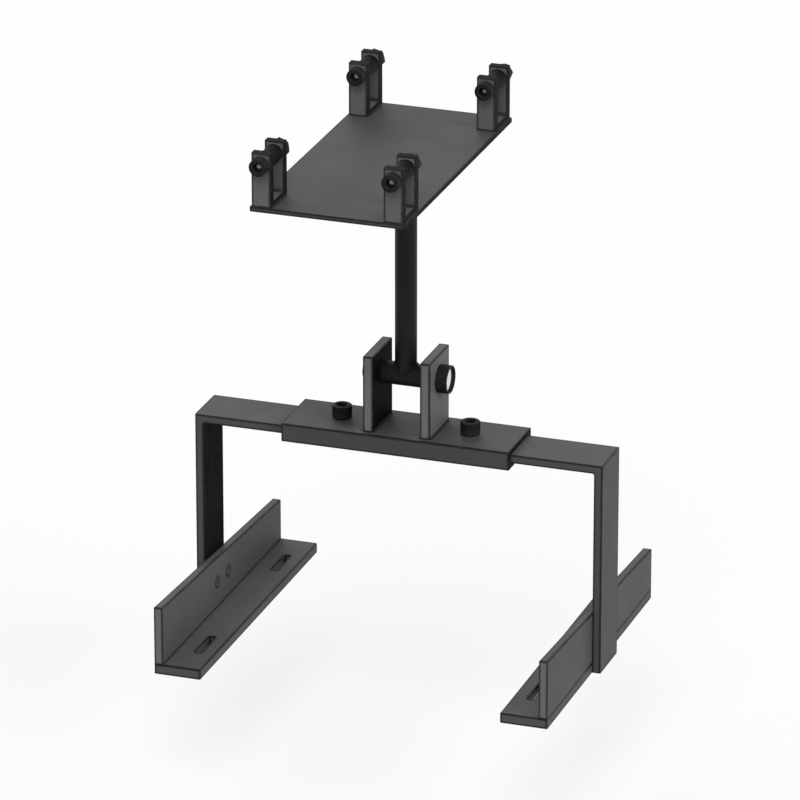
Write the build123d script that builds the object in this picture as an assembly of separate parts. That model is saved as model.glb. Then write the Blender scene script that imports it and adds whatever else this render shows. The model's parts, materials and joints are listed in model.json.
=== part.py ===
from build123d import *
import math
import os

# Ceiling-hung cradle mount. The origin is the centre of the four hanger bolts, at the
# height of their axes. +Z is up, -Y is the front, and X runs across, along the pivot.
# All sizes are millimetres.

# Ceiling plate
PLATE_WIDTH = 142.0
PLATE_LENGTH = 294.0
PLATE_THICK = 4.5
PLATE_CORNER_RADIUS = 1.5

# Hanger clevises, one at each corner of the plate
CLEVIS_WIDTH = 17.5
CLEVIS_HEIGHT = 49.5
CLEVIS_GAP = 26.0
FLANGE_THICK = 8.0
WEB_THICK = 4.0
GAP_CORNER_RADIUS = 2.0
CLEVIS_SIDE_INSET = 2.0
CLEVIS_END_INSET = 0.5
HANGER_AXIS_HEIGHT = 39.0

# Hanger bolts, spacers and nuts
HANGER_BOLT_D = 10.0
HANGER_HEAD_D = 16.0
HANGER_HEAD_LENGTH = 9.0
HANGER_SOCKET_AF = 8.0
HANGER_SOCKET_DEPTH = 5.0
SPACER_D = 16.0
NUT_AF = 16.0
NUT_HEIGHT = 8.0
BOLT_END = 1.5

# Pole and pivot barrel
POLE_D = 20.0
POLE_WALL = 3.0
POLE_SETBACK = 62.0
PIVOT_DROP = 219.5
BARREL_D = 21.0
BUSH_D = 13.0
BUSH_LENGTH = 14.0
WASHER_D = 20.0
WASHER_THICK = 1.5

# Ears of the tilt head
EAR_GAP = 44.5
EAR_THICK = 9.5
EAR_DEPTH = 53.5
EAR_HEIGHT = 72.5
PIVOT_HEIGHT = 49.7

# Pivot bolt, its nut and the pale cap in its head
PIVOT_BOLT_D = 10.0
PIVOT_HEAD_D = 26.0
PIVOT_HEAD_LENGTH = 11.0
PIVOT_RECESS_D = 23.4
PIVOT_RECESS_DEPTH = 3.8
PIVOT_CAP_THICK = 2.0
PIVOT_SOCKET_AF = 8.0
PIVOT_SOCKET_DEPTH = 3.0
PIVOT_NUT_AF = 17.0
PIVOT_NUT_HEIGHT = 7.0
PIVOT_BOLT_END = 1.0

# Clamp sleeve
SLEEVE_LENGTH = 215.5
SLEEVE_TOP_WALL = 4.55
SLEEVE_SIDE_WALL = 7.0
SLEEVE_EDGE = 0.8

# Clamp screws and the pads under them
CLAMP_SPACING = 122.0
CLAMP_D = 12.0
CLAMP_HEAD_D = 18.0
CLAMP_HEAD_HEIGHT = 11.5
CLAMP_SOCKET_AF = 10.0
CLAMP_SOCKET_DEPTH = 6.0
CLAMP_HEAD_LIFT = 1.0
PAD_D = 11.6
PAD_THICK = 1.5

# Arms of flat bar
ARM_WIDTH = 50.0
ARM_THICK = 8.0
ARM_REACH = 193.5
ARM_INNER_END = 20.0
LEG_BOTTOM_DROP = 206.0
ARM_INNER_RADIUS = 2.0

# Rails: a tapered upright standing on a level shelf
RAIL_LENGTH = 310.0
UPRIGHT_THICK = 8.0
UPRIGHT_FRONT_HEIGHT = 55.5
UPRIGHT_BACK_HEIGHT = 39.5
SHELF_WIDTH = 44.0
SHELF_THICK = 9.5
SHELF_STEP = 0.5
SLOT_SPACING = 200.0
SLOT_LENGTH = 40.0
SLOT_WIDTH = 6.6
SLOT_EDGE_DISTANCE = 16.0

# Countersunk screws of the rails
RAIL_SCREW_D = 6.0
RAIL_SCREW_HEAD_D = 11.0
RAIL_SCREW_HEAD_HEIGHT = 3.0
RAIL_SCREW_SPACING = 28.0
RAIL_SCREW_HEIGHT = 24.0
RAIL_SCREW_BITE = 6.0
RAIL_SOCKET_AF = 4.0
SHELF_SCREW_D = 4.0
SHELF_SCREW_HEAD_D = 7.4
SHELF_SCREW_HEAD_HEIGHT = 2.2
SHELF_SCREW_SPACING = 120.0
SHELF_SCREW_BITE = 12.0
SHELF_SOCKET_AF = 2.5
SOCKET_DEPTH_SHARE = 0.7

# Clearances and edge breaks
RUNNING_FIT = 0.04
THREAD_FIT = 0.05
BOLT_FIT = 0.2
SLIDE_FIT = 0.2
PAD_GAP = 0.15
FACE_GAP = 0.1
HOLE_END_GAP = 0.5
EDGE_BREAK = 0.6
FINE_BREAK = 0.4
PICK_RANGE = 0.01

# Sizes worked out from those above
CLEVIS_DEPTH = CLEVIS_GAP + 2 * FLANGE_THICK
CLEVIS_X = PLATE_WIDTH / 2 - CLEVIS_SIDE_INSET - CLEVIS_WIDTH / 2
CLEVIS_Y = PLATE_LENGTH / 2 - CLEVIS_END_INSET - CLEVIS_DEPTH / 2
PLATE_TOP_Z = -HANGER_AXIS_HEIGHT
PLATE_BOTTOM_Z = PLATE_TOP_Z - PLATE_THICK
PIVOT_Y = POLE_SETBACK
PIVOT_Z = PLATE_BOTTOM_Z - PIVOT_DROP
SLEEVE_TOP_Z = PIVOT_Z - PIVOT_HEIGHT
EAR_OUTER_X = EAR_GAP / 2 + EAR_THICK
BARREL_LENGTH = EAR_GAP - 2 * (WASHER_THICK + FACE_GAP)
SLOT_IN_SLEEVE_HEIGHT = ARM_THICK + 2 * SLIDE_FIT
SLOT_IN_SLEEVE_DEPTH = ARM_WIDTH + 2 * SLIDE_FIT
SLEEVE_HEIGHT = SLOT_IN_SLEEVE_HEIGHT + 2 * SLEEVE_TOP_WALL
SLEEVE_DEPTH = SLOT_IN_SLEEVE_DEPTH + 2 * SLEEVE_SIDE_WALL
ARM_TOP_Z = SLEEVE_TOP_Z - SLEEVE_TOP_WALL - SLIDE_FIT
LEG_BOTTOM_Z = SLEEVE_TOP_Z - LEG_BOTTOM_DROP
RAIL_OUTER_X = ARM_REACH - ARM_THICK
SHELF_TOP_Z = LEG_BOTTOM_Z + SHELF_THICK
UPRIGHT_BOTTOM_Z = SHELF_TOP_Z - SHELF_STEP
CLAMP_X = CLAMP_SPACING / 2

CENTRED_UP = (Align.CENTER, Align.CENTER, Align.MIN)
ALONG_Y = Rot(X=-90)
ALONG_X = Rot(Y=90)
AGAINST_X = Rot(Y=-90)
DOWN = Rot(X=180)


def edges_at(solid, along, axis, place):
    """The straight edges that run along one axis and lie at a place on another."""
    return solid.edges().filter_by(along).filter_by_position(axis, place - PICK_RANGE, place + PICK_RANGE)


def disc(diameter, height):
    """A round bar standing on the origin."""
    return Cylinder(diameter / 2, height, align=CENTRED_UP)


def hexagon(across_flats, height):
    """A hexagonal bar standing on the origin."""
    return extrude(RegularPolygon(across_flats / 2, 6, major_radius=False), amount=height)


def socket_screw(shank_d, shank_length, head_d, head_length, socket_af, socket_depth):
    """A cap screw: the shank goes up from the origin, and the head lies below it."""
    head = Pos(0, 0, -head_length) * disc(head_d, head_length)
    head = chamfer(head.edges().sort_by(Axis.Z)[0], EDGE_BREAK)
    shank = disc(shank_d, shank_length)
    shank = chamfer(shank.edges().sort_by(Axis.Z)[-1], EDGE_BREAK)
    socket = Pos(0, 0, -head_length) * hexagon(socket_af, socket_depth)
    return head + shank - socket


def flat_screw(shank_d, length, head_d, head_height, socket_af):
    """A countersunk screw: its head's face is on the origin, and it goes up."""
    head = Cone(head_d / 2, shank_d / 2, head_height, align=CENTRED_UP)
    shank = disc(shank_d, length)
    shank = chamfer(shank.edges().sort_by(Axis.Z)[-1], FINE_BREAK)
    socket = hexagon(socket_af, head_height * SOCKET_DEPTH_SHARE)
    return head + shank - socket


def flat_screw_seat(shank_d, head_d, head_height, through):
    """The countersunk clearance hole of a flat_screw."""
    cone = Cone(head_d / 2 + THREAD_FIT, shank_d / 2 + THREAD_FIT, head_height, align=CENTRED_UP)
    return cone + disc(shank_d + 2 * BOLT_FIT, through)


def hex_nut(across_flats, height, bore_d):
    """A nut standing on the origin, with the corners turned off at both ends."""
    corner_d = across_flats / math.cos(math.pi / 6)
    corner = (corner_d - across_flats) / 2
    turned = disc(corner_d, height)
    turned = chamfer(turned.edges(), corner, corner / 2)
    bore = disc(bore_d + 2 * THREAD_FIT, height)
    return (hexagon(across_flats, height) & turned) - bore


def ceiling_plate():
    plate = Box(PLATE_WIDTH, PLATE_LENGTH, PLATE_THICK, align=CENTRED_UP)
    plate = fillet(plate.edges().filter_by(Axis.Z), PLATE_CORNER_RADIUS)
    rims = plate.faces().sort_by(Axis.Z)[0].edges() + plate.faces().sort_by(Axis.Z)[-1].edges()
    return Pos(0, 0, PLATE_BOTTOM_Z) * chamfer(rims, FINE_BREAK)


def clevis():
    """A U of two flanges on a thin web, centred on its own hanger bolt."""
    body = Box(CLEVIS_WIDTH, CLEVIS_DEPTH, CLEVIS_HEIGHT, align=CENTRED_UP)
    for flange_face in (0, -1):
        body = chamfer(body.faces().sort_by(Axis.Y)[flange_face].edges().sort_by(Axis.Z)[1:], EDGE_BREAK)
    body -= Pos(0, 0, WEB_THICK) * Box(CLEVIS_WIDTH, CLEVIS_GAP, CLEVIS_HEIGHT, align=CENTRED_UP)
    body = fillet(edges_at(body, Axis.X, Axis.Z, WEB_THICK), GAP_CORNER_RADIUS)
    bore = ALONG_Y * Cylinder(HANGER_BOLT_D / 2 + BOLT_FIT, CLEVIS_DEPTH)
    return Pos(0, 0, PLATE_TOP_Z) * body - bore


def hanger_bolt():
    length = CLEVIS_DEPTH + NUT_HEIGHT + BOLT_END
    bolt = socket_screw(
        HANGER_BOLT_D, length, HANGER_HEAD_D, HANGER_HEAD_LENGTH, HANGER_SOCKET_AF, HANGER_SOCKET_DEPTH
    )
    return Pos(0, -CLEVIS_DEPTH / 2, 0) * ALONG_Y * bolt


def hanger_spacer():
    length = CLEVIS_GAP - 2 * FACE_GAP
    tube = Cylinder(SPACER_D / 2, length)
    tube = chamfer(tube.edges(), FINE_BREAK)
    return ALONG_Y * (tube - Cylinder(HANGER_BOLT_D / 2 + THREAD_FIT, length))


def hanger_nut():
    return Pos(0, CLEVIS_DEPTH / 2, 0) * ALONG_Y * hex_nut(NUT_AF, NUT_HEIGHT, HANGER_BOLT_D)


def pole():
    """A tube from the plate down to the barrel, coped to the barrel's round."""
    length = PLATE_BOTTOM_Z - PIVOT_Z
    tube = disc(POLE_D, length) - disc(POLE_D - 2 * POLE_WALL, length)
    tube -= ALONG_X * Cylinder(BARREL_D / 2, 2 * POLE_D)
    return Pos(0, PIVOT_Y, PIVOT_Z) * tube


def pivot_barrel():
    barrel = Cylinder(BARREL_D / 2, BARREL_LENGTH)
    barrel = chamfer(barrel.edges(), FINE_BREAK)
    return Pos(0, PIVOT_Y, PIVOT_Z) * ALONG_X * (barrel - Cylinder(BUSH_D / 2, BARREL_LENGTH))


def pivot_bush(side):
    bush = disc(BUSH_D, BUSH_LENGTH) - disc(PIVOT_BOLT_D + 2 * RUNNING_FIT, BUSH_LENGTH)
    inner_end = BARREL_LENGTH / 2 - BUSH_LENGTH
    place = Pos(side * inner_end, PIVOT_Y, PIVOT_Z)
    return place * (ALONG_X if side > 0 else AGAINST_X) * bush


def friction_washer(side):
    washer = disc(WASHER_D, WASHER_THICK) - disc(PIVOT_BOLT_D + 2 * BOLT_FIT, WASHER_THICK)
    place = Pos(side * BARREL_LENGTH / 2, PIVOT_Y, PIVOT_Z)
    return place * (ALONG_X if side > 0 else AGAINST_X) * washer


def ear(side):
    """A plate that stands on the sleeve, with every edge broken but those of its foot."""
    plate = Box(EAR_THICK, EAR_DEPTH, EAR_HEIGHT, align=CENTRED_UP)
    foot = plate.faces().sort_by(Axis.Z)[0].edges()
    plate = chamfer([edge for edge in plate.edges() if edge not in foot], EDGE_BREAK)
    plate -= Pos(0, 0, PIVOT_HEIGHT) * ALONG_X * Cylinder(PIVOT_BOLT_D / 2 + BOLT_FIT, EAR_THICK)
    return Pos(side * (EAR_OUTER_X - EAR_THICK / 2), PIVOT_Y, SLEEVE_TOP_Z) * plate


def pivot_bolt():
    """The bolt goes through both ears towards -X, its recessed head on the right ear."""
    shank_length = 2 * EAR_OUTER_X + PIVOT_NUT_HEIGHT + PIVOT_BOLT_END
    recess_depth = PIVOT_RECESS_DEPTH + PIVOT_CAP_THICK
    bolt = socket_screw(
        PIVOT_BOLT_D, shank_length, PIVOT_HEAD_D, PIVOT_HEAD_LENGTH, PIVOT_SOCKET_AF,
        recess_depth + PIVOT_SOCKET_DEPTH,
    )
    bolt -= Pos(0, 0, -PIVOT_HEAD_LENGTH) * disc(PIVOT_RECESS_D, recess_depth)
    return Pos(EAR_OUTER_X, PIVOT_Y, PIVOT_Z) * AGAINST_X * bolt


def pivot_cap():
    """The pale disc on the floor of the pivot bolt's recess."""
    cap = disc(PIVOT_RECESS_D - 2 * FACE_GAP, PIVOT_CAP_THICK)
    cap = chamfer(cap.edges().sort_by(Axis.Z)[-1], FINE_BREAK)
    floor_x = EAR_OUTER_X + PIVOT_HEAD_LENGTH - PIVOT_RECESS_DEPTH - PIVOT_CAP_THICK
    return Pos(floor_x, PIVOT_Y, PIVOT_Z) * ALONG_X * cap


def pivot_nut():
    nut = hex_nut(PIVOT_NUT_AF, PIVOT_NUT_HEIGHT, PIVOT_BOLT_D)
    return Pos(-EAR_OUTER_X, PIVOT_Y, PIVOT_Z) * AGAINST_X * nut


def clamp_sleeve():
    """A flat box tube, open at both ends, with two threaded holes in its top wall."""
    tube = Box(SLEEVE_LENGTH, SLEEVE_DEPTH, SLEEVE_HEIGHT)
    tube = chamfer(tube.edges().filter_by(Axis.X), SLEEVE_EDGE)
    tube -= Box(SLEEVE_LENGTH, SLOT_IN_SLEEVE_DEPTH, SLOT_IN_SLEEVE_HEIGHT)
    for side in (-1, 1):
        hole = disc(CLAMP_D + 2 * THREAD_FIT, SLEEVE_HEIGHT / 2)
        tube -= Pos(side * CLAMP_X, 0, 0) * hole
    return Pos(0, PIVOT_Y, SLEEVE_TOP_Z - SLEEVE_HEIGHT / 2) * tube


def clamp_screw(side):
    """The shank goes down to the pad, and the head stands just clear of the sleeve."""
    tip_z = ARM_TOP_Z + PAD_GAP + PAD_THICK
    head_z = SLEEVE_TOP_Z + CLAMP_HEAD_LIFT
    screw = socket_screw(
        CLAMP_D, head_z - tip_z, CLAMP_HEAD_D, CLAMP_HEAD_HEIGHT, CLAMP_SOCKET_AF, CLAMP_SOCKET_DEPTH
    )
    return Pos(side * CLAMP_X, PIVOT_Y, head_z) * DOWN * screw


def clamp_pad(side):
    pad = disc(PAD_D, PAD_THICK)
    pad = chamfer(pad.edges().sort_by(Axis.Z)[0], FINE_BREAK)
    return Pos(side * CLAMP_X, PIVOT_Y, ARM_TOP_Z + PAD_GAP) * pad


def rail_screw_places():
    """The (y, z) places of the screws that hold a rail to its leg."""
    z = SHELF_TOP_Z + RAIL_SCREW_HEIGHT
    return [(PIVOT_Y + end * RAIL_SCREW_SPACING / 2, z) for end in (-1, 1)]


def shelf_screw_places():
    """The (x, y) places of the screws that hold a right shelf to its upright."""
    x = RAIL_OUTER_X - UPRIGHT_THICK / 2
    return [(x, PIVOT_Y + step * SHELF_SCREW_SPACING) for step in (-1, 0, 1)]


def arm_right():
    """A flat bar from inside the sleeve to a square corner, and down to the rail."""
    hung_outside = (Align.MAX, Align.CENTER, Align.MAX)
    across = Box(ARM_REACH - ARM_INNER_END, ARM_WIDTH, ARM_THICK, align=hung_outside)
    leg = Box(ARM_THICK, ARM_WIDTH, ARM_TOP_Z - LEG_BOTTOM_Z, align=hung_outside)
    bar = Pos(ARM_REACH, PIVOT_Y, ARM_TOP_Z) * (across + leg)
    inner_corner = edges_at(bar, Axis.Y, Axis.X, RAIL_OUTER_X).sort_by(Axis.Z)[-1]
    bar = fillet(inner_corner, ARM_INNER_RADIUS)
    for flat_face in (0, -1):
        bar = chamfer(bar.faces().sort_by(Axis.Y)[flat_face].edges(), FINE_BREAK)
    for y, z in rail_screw_places():
        hole = ALONG_X * disc(RAIL_SCREW_D + 2 * THREAD_FIT, RAIL_SCREW_BITE + HOLE_END_GAP)
        bar -= Pos(RAIL_OUTER_X, y, z) * hole
    return bar


def rail_upright_right():
    """The side plate, tall at the front and lower at the back, level underneath."""
    half = RAIL_LENGTH / 2
    foot = UPRIGHT_BOTTOM_Z
    outline = Polyline(
        (PIVOT_Y - half, foot),
        (PIVOT_Y - half, SHELF_TOP_Z + UPRIGHT_FRONT_HEIGHT),
        (PIVOT_Y + half, SHELF_TOP_Z + UPRIGHT_BACK_HEIGHT),
        (PIVOT_Y + half, foot),
        close=True,
    )
    plate = extrude(Plane.YZ * make_face(outline), amount=UPRIGHT_THICK)
    plate = chamfer(plate.faces().sort_by(Axis.Z)[-1].edges(), EDGE_BREAK)
    inner_x = RAIL_OUTER_X - UPRIGHT_THICK
    plate = Pos(inner_x, 0, 0) * plate
    for y, z in rail_screw_places():
        seat = flat_screw_seat(RAIL_SCREW_D, RAIL_SCREW_HEAD_D, RAIL_SCREW_HEAD_HEIGHT, UPRIGHT_THICK)
        plate -= Pos(inner_x, y, z) * ALONG_X * seat
    for x, y in shelf_screw_places():
        hole = disc(SHELF_SCREW_D + 2 * THREAD_FIT, SHELF_SCREW_BITE + HOLE_END_GAP)
        plate -= Pos(x, y, foot) * hole
    return plate


def rail_shelf_right():
    """The plate the load rests on, stepped where the upright stands, with two slots."""
    shelf = Box(SHELF_WIDTH, RAIL_LENGTH, SHELF_THICK, align=(Align.MAX, Align.CENTER, Align.MIN))
    shelf = chamfer(shelf.faces().sort_by(Axis.X)[0].edges(), EDGE_BREAK)
    step = Box(UPRIGHT_THICK, RAIL_LENGTH, SHELF_STEP, align=(Align.MAX, Align.CENTER, Align.MAX))
    shelf -= Pos(0, 0, SHELF_THICK) * step
    shelf = Pos(RAIL_OUTER_X, PIVOT_Y, LEG_BOTTOM_Z) * shelf
    slot_x = RAIL_OUTER_X - SHELF_WIDTH + SLOT_EDGE_DISTANCE
    for end in (-1, 1):
        slot = extrude(SlotOverall(SLOT_LENGTH, SLOT_WIDTH, rotation=90), amount=SHELF_THICK)
        shelf -= Pos(slot_x, PIVOT_Y + end * SLOT_SPACING / 2, LEG_BOTTOM_Z) * slot
    for x, y in shelf_screw_places():
        seat = flat_screw_seat(SHELF_SCREW_D, SHELF_SCREW_HEAD_D, SHELF_SCREW_HEAD_HEIGHT, SHELF_THICK)
        shelf -= Pos(x, y, LEG_BOTTOM_Z) * seat
    return shelf


def rail_screws_right():
    screws = []
    for y, z in rail_screw_places():
        screw = flat_screw(
            RAIL_SCREW_D, UPRIGHT_THICK + RAIL_SCREW_BITE, RAIL_SCREW_HEAD_D, RAIL_SCREW_HEAD_HEIGHT,
            RAIL_SOCKET_AF,
        )
        screws.append(Pos(RAIL_OUTER_X - UPRIGHT_THICK, y, z) * ALONG_X * screw)
    return Compound(children=screws)


def shelf_screws_right():
    screws = []
    for x, y in shelf_screw_places():
        screw = flat_screw(
            SHELF_SCREW_D, UPRIGHT_BOTTOM_Z - LEG_BOTTOM_Z + SHELF_SCREW_BITE, SHELF_SCREW_HEAD_D,
            SHELF_SCREW_HEAD_HEIGHT, SHELF_SOCKET_AF,
        )
        screws.append(Pos(x, y, LEG_BOTTOM_Z) * screw)
    return Compound(children=screws)


def hanger_nodes():
    """The clevis, bolt, spacer and nut of each corner."""
    nodes = {}
    for end_name, end in (("front", -1), ("back", 1)):
        for side_name, side in (("left", -1), ("right", 1)):
            corner = Pos(side * CLEVIS_X, end * CLEVIS_Y, 0)
            place = f"{end_name}_{side_name}"
            nodes[f"clevis_{place}"] = corner * clevis()
            nodes[f"hanger_bolt_{place}"] = corner * hanger_bolt()
            nodes[f"hanger_spacer_{place}"] = corner * hanger_spacer()
            nodes[f"hanger_nut_{place}"] = corner * hanger_nut()
    return nodes


def paired_nodes():
    """What stands on both sides: the left piece mirrors the right one."""
    nodes = {}
    for name, make in (
        ("arm", arm_right),
        ("rail_upright", rail_upright_right),
        ("rail_shelf", rail_shelf_right),
        ("rail_screws", rail_screws_right),
        ("shelf_screws", shelf_screws_right),
    ):
        right = make()
        nodes[f"{name}_right"] = right
        nodes[f"{name}_left"] = mirror(right, about=Plane.YZ)
    for side_name, side in (("left", -1), ("right", 1)):
        nodes[f"ear_{side_name}"] = ear(side)
        nodes[f"pivot_bush_{side_name}"] = pivot_bush(side)
        nodes[f"friction_washer_{side_name}"] = friction_washer(side)
        nodes[f"clamp_screw_{side_name}"] = clamp_screw(side)
        nodes[f"clamp_pad_{side_name}"] = clamp_pad(side)
    return nodes


def all_nodes():
    nodes = {
        "ceiling_plate": ceiling_plate(),
        "pole": pole(),
        "pivot_barrel": pivot_barrel(),
        "pivot_bolt": pivot_bolt(),
        "pivot_cap": pivot_cap(),
        "pivot_nut": pivot_nut(),
        "clamp_sleeve": clamp_sleeve(),
    }
    nodes.update(hanger_nodes())
    nodes.update(paired_nodes())
    return nodes


os.makedirs("parts", exist_ok=True)
for node_name, shape in all_nodes().items():
    export_step(shape, f"parts/{node_name}.step")
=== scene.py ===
"""Dresses the ceiling-hung cradle mount: its finishes, its real fasteners and its weld beads.

Lengths are metres and angles radians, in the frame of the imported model: +Z is up, -Y is the
front, and X runs across, along the pivot bolt.
"""

import json
import logging
import math
from collections.abc import Iterable
from dataclasses import dataclass, field, replace
from enum import Enum

import bpy
import numpy as np
from mathutils import Euler, Matrix, Vector

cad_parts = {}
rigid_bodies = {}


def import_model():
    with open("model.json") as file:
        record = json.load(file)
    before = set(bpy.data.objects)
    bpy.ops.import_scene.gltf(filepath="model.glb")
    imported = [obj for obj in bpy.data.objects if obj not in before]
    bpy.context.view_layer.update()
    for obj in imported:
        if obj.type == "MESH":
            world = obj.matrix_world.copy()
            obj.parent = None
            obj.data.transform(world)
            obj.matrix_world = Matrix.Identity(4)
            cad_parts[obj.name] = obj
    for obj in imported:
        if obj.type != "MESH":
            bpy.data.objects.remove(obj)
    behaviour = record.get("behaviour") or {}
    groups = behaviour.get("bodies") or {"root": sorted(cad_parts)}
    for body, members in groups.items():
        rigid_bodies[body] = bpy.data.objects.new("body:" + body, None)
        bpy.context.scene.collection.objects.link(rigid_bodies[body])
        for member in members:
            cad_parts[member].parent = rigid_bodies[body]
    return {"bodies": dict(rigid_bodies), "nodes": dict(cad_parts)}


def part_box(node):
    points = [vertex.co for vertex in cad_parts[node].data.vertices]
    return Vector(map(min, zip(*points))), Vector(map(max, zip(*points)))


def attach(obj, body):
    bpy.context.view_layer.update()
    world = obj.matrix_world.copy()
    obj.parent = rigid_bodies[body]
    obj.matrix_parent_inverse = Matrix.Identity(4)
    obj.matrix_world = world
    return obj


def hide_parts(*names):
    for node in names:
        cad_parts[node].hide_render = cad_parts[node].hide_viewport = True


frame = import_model()

log = logging.getLogger("cradle_mount")

MM = 0.001
FULL_TURN = 2 * math.pi
THREAD_DEPTH = 0.61  # how deep a metric thread's groove is, as a share of its pitch
THREAD_START = 0.01 * MM  # how far past the ring before it a thread starts
DRILL_TIP = 0.05  # the tip of a socket's drill point, as a share of the socket
WHITE = (1.0, 1.0, 1.0)

Colour = tuple[float, float, float]
Material = bpy.types.Material
Mesh = bpy.types.Mesh
Piece = bpy.types.Object
Socket = bpy.types.NodeSocket


class Slot(Enum):
    """The names of the record's material slots."""

    PAINT = "dark_grey_paint"
    STEEL = "black_steel"


class Facing(Enum):
    """Which way the shank of a fastener points, as the turn from +Z."""

    UP = (0.0, 0.0, 0.0)
    DOWN = (math.pi, 0.0, 0.0)
    BACK = (-math.pi / 2, 0.0, 0.0)
    RIGHT = (0.0, math.pi / 2, 0.0)
    LEFT = (0.0, -math.pi / 2, 0.0)


class Faces(Enum):
    """Which flat faces of a coated piece get its second material, a black cut side, painted light or painted
    shade: the ways they face.
    """

    FRONT_AND_BACK = ((0.0, -1.0, 0.0), (0.0, 1.0, 0.0))
    BOTH_SIDES = ((-1.0, 0.0, 0.0), (1.0, 0.0, 0.0))
    RIGHT_FACE = ((1.0, 0.0, 0.0),)
    LEFT_FACE = ((-1.0, 0.0, 0.0),)
    TOP_ENDS = ((0.0, 0.0, 1.0),)


SIDES = {"left": -1, "right": 1}
CORNERS = [f"{end}_{side}" for end in ("front", "back") for side in SIDES]


class Graph:
    """Short calls on one node tree."""

    def __init__(self, tree: bpy.types.NodeTree) -> None:
        """Takes the tree that the calls add to."""
        self.tree = tree

    def add(self, kind: str, inputs: dict | None = None, **settings: object) -> bpy.types.Node:
        """Adds a node, wires it and sets it.

        Args:
            kind: The node's type.
            inputs: For each input's name or index, the socket to link or the value to set.
            **settings: The node's own properties.

        Returns:
            The new node.
        """
        node = self.tree.nodes.new(kind)
        for setting, value in settings.items():
            setattr(node, setting, value)
        for key, value in (inputs or {}).items():
            self.feed(node.inputs[key], value)
        return node

    def feed(self, socket: Socket, value: object) -> None:
        """Links or sets one socket.

        Args:
            socket: The socket.
            value: The socket that feeds it, or its value, which for a colour is red, green and blue.
        """
        if isinstance(value, Socket):
            self.tree.links.new(value, socket)
        elif socket.type == "RGBA":
            socket.default_value = (*value, 1.0)
        else:
            socket.default_value = value

    def out(self, kind: str, inputs: dict | None = None, **settings: object) -> Socket:
        """Adds a node, as add does, and returns its first output."""
        return self.add(kind, inputs, **settings).outputs[0]

    def math(self, operation: str, *values: Socket | float) -> Socket:
        """Returns the result of a Math node on sockets or numbers."""
        return self.out("ShaderNodeMath", dict(enumerate(values)), operation=operation)

    def vector_math(self, operation: str, *values: Socket | Colour) -> Socket:
        """Returns the vector result of a Vector Math node on sockets or vectors."""
        return self.out("ShaderNodeVectorMath", dict(enumerate(values)), operation=operation)

    def scale(self, vector: Socket | Colour, share: Socket) -> Socket:
        """Returns a vector or a colour times a number."""
        return self.out("ShaderNodeVectorMath", {0: vector, "Scale": share}, operation="SCALE")

    def ramp(self, value: Socket, start: float, end: float, low: float = 0.0, high: float = 1.0) -> Socket:
        """Maps a value linearly, from start and end to low and high, and clamps it."""
        inputs = {"Value": value, "From Min": start, "From Max": end, "To Min": low, "To Max": high}
        return self.out("ShaderNodeMapRange", inputs)

    def seen(self) -> Socket:
        """Tells the background's two uses apart.

        Returns:
            A socket that is 1 for rays that show it and 0 for those that light the object.
        """
        rays = self.add("ShaderNodeLightPath").outputs
        mirrored = self.math("MAXIMUM", rays["Is Glossy Ray"], rays["Is Transmission Ray"])
        return self.math("MAXIMUM", rays["Is Camera Ray"], mirrored)


@dataclass(frozen=True)
class Clouds:
    """A soft cloudy pattern: the size of a cloud, and the two values between which it runs."""

    size: float
    low: float
    high: float
    layers: float = 3.0  # how many finer layers it has
    span: tuple[float, float] = (0.3, 0.7)  # the part of the noise that goes from low to high
    stretch: Colour = (1.0, 1.0, 1.0)  # how much finer it is along X, Y and Z


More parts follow.
